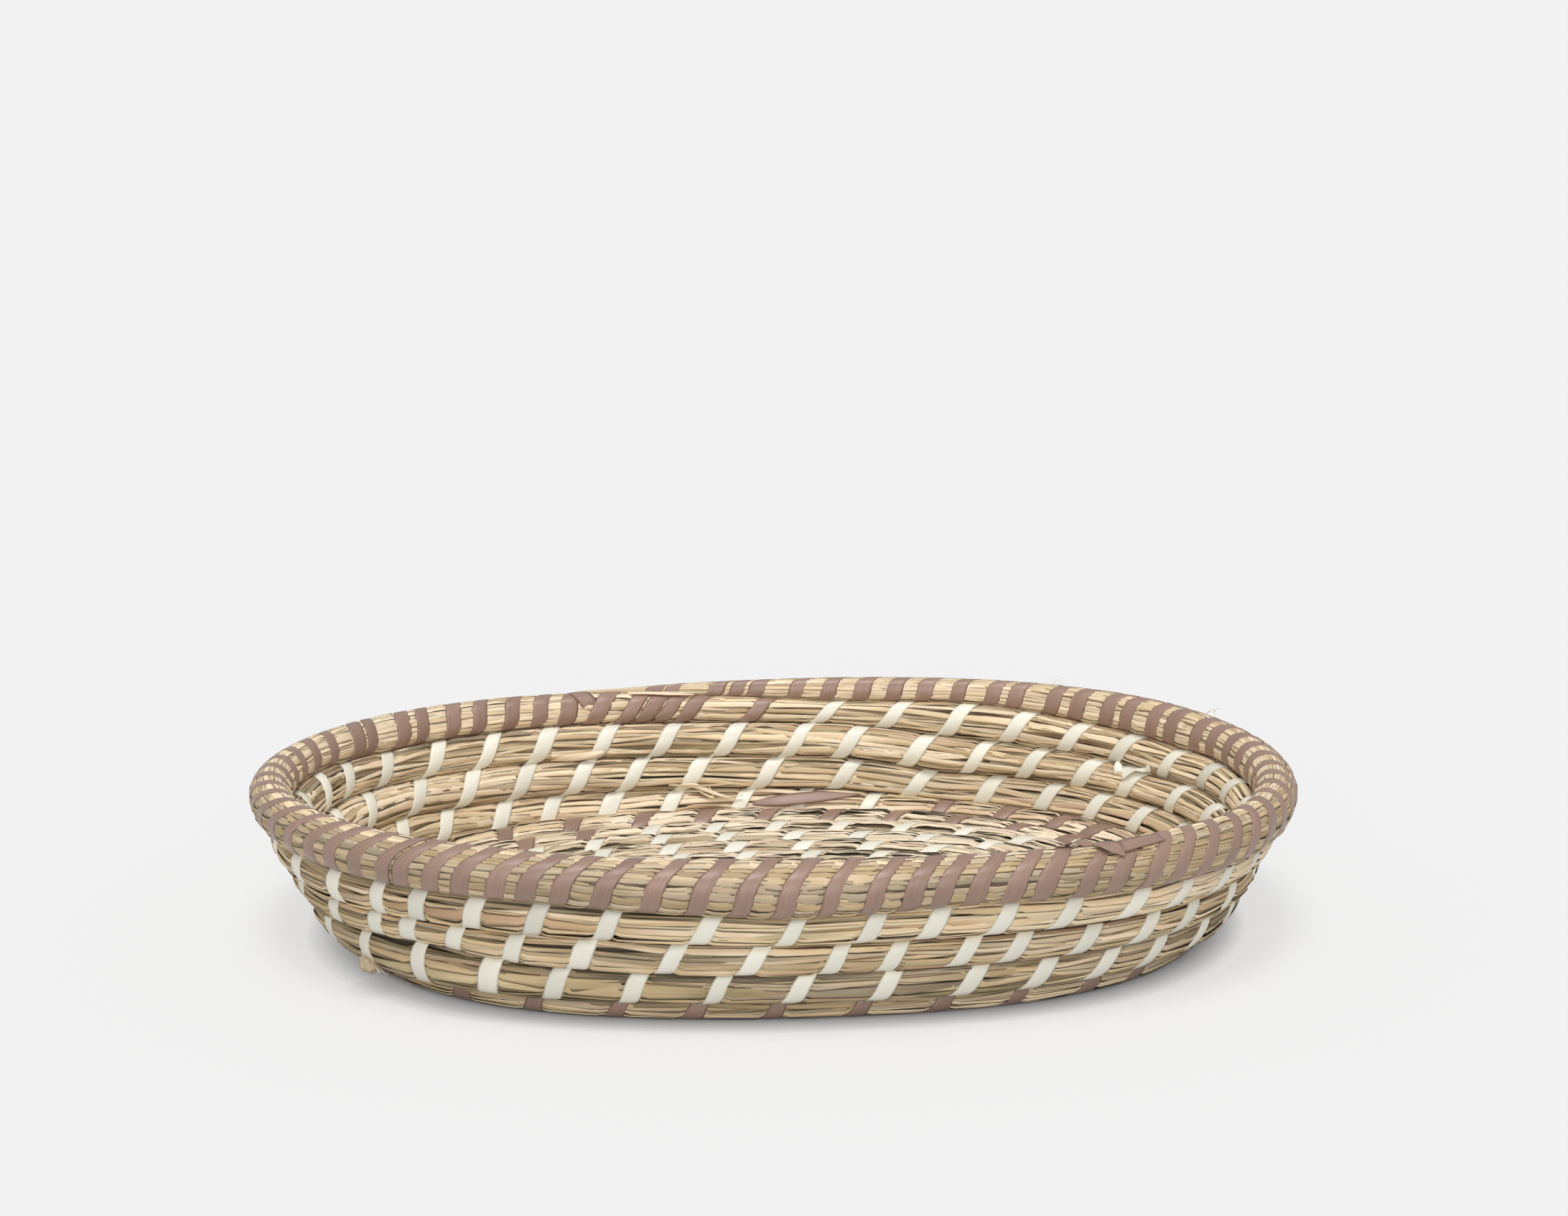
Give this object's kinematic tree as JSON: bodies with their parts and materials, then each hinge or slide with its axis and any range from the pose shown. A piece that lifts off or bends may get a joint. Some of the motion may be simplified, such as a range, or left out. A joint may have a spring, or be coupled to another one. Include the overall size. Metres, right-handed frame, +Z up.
{
  "type": "coiled oval basket",
  "caption": "Shallow oval tray basket: one grass bundle coiled on edge and sewn with flat cream and mauve strips, with a flaring wall.",
  "frame": {"origin": "under the middle of the rim, on the surface that the basket stands on", "axes": "+X along the oval, +Y across it towards the side where the coil ends, +Z up"},
  "size_m": [0.3797, 0.2641, 0.0663],
  "materials": {
    "dried_grass": "dry folded grass leaves, matt to satin, straw with green, tan and pinkish streaks",
    "cream_strip": "smooth satin flat strip with fine lengthwise lines",
    "mauve_strip": "smooth satin flat strip, dyed dusty mauve, with fine lengthwise lines"
  },
  "bodies": {
    "root": {"floor_coil": "dried_grass", "wall_coil": "dried_grass", "rim_coil": "dried_grass", "floor_strip_1": "cream_strip", "floor_strip_2": "cream_strip", "floor_strip_3": "cream_strip", "floor_strip_mauve": "mauve_strip", "base_strip_mauve": "mauve_strip", "wall_strip_1": "cream_strip", "wall_strip_2": "cream_strip", "wall_strip_3": "cream_strip", "rim_strip_mauve": "mauve_strip"}
  },
  "joints": []
}
